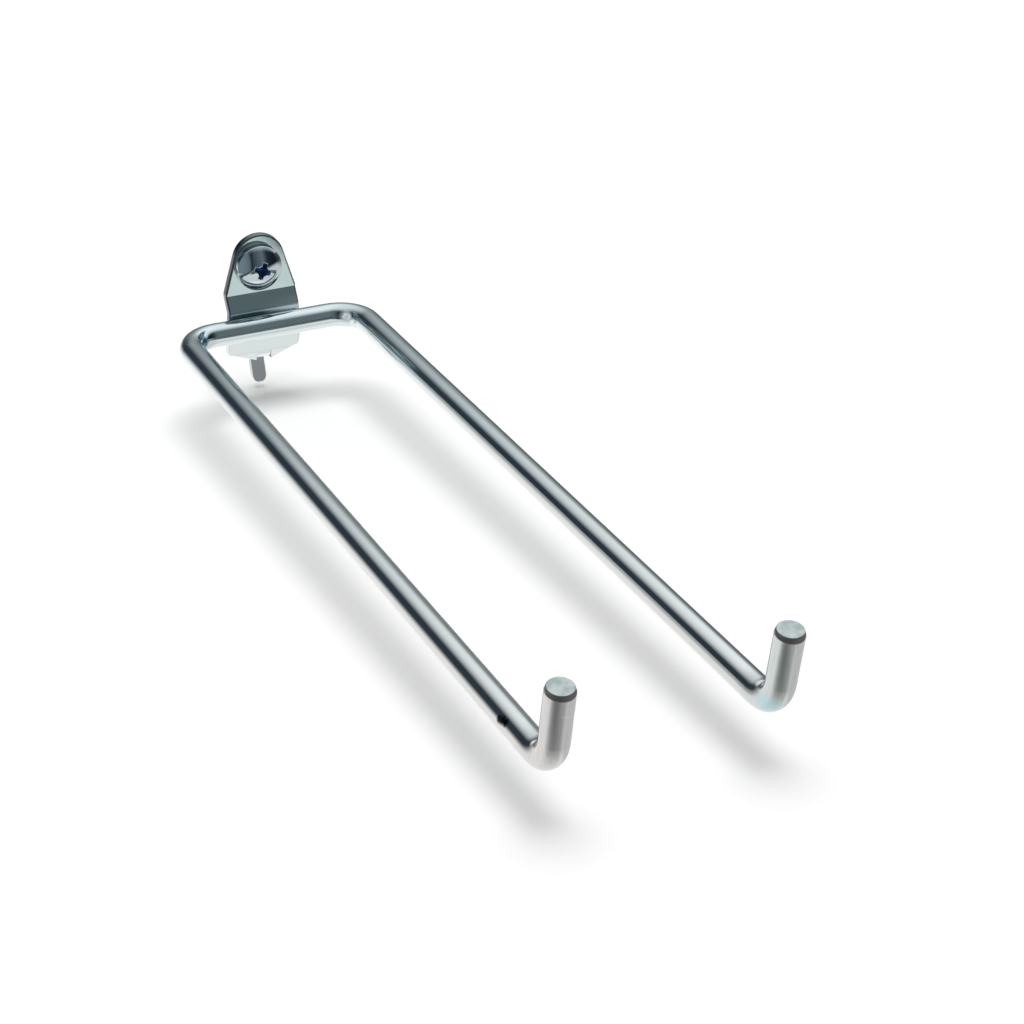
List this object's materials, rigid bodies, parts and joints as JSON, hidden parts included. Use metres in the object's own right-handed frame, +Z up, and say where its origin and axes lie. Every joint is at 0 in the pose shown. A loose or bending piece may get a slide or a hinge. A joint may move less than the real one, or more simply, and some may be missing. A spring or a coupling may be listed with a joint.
{
  "type": "pegboard hook",
  "caption": "Round-wire pegboard hook with upturned prong tips, welded to a stamped bracket that a screw and a rear tongue fasten to a perforated panel.",
  "frame": {"origin": "where the axis of the bracket's screw crosses the plane of the panel's front face, which is also the back plane of the bracket's tab", "axes": "+X to the right along the panel, +Y into the panel along the screw, so that the prongs point along -Y, +Z up the panel"},
  "size_m": [0.0558, 0.2398, 0.0442],
  "materials": {
    "wire_steel": "bright zinc plating with a faint blue tint and handling scratches",
    "sheet_steel": "bright zinc plating on rolled sheet, satin",
    "screw_steel": "bright plated, mirror-like"
  },
  "bodies": {
    "root": {"hook_wire": "wire_steel", "bracket": "sheet_steel", "screw": "screw_steel"}
  },
  "joints": []
}
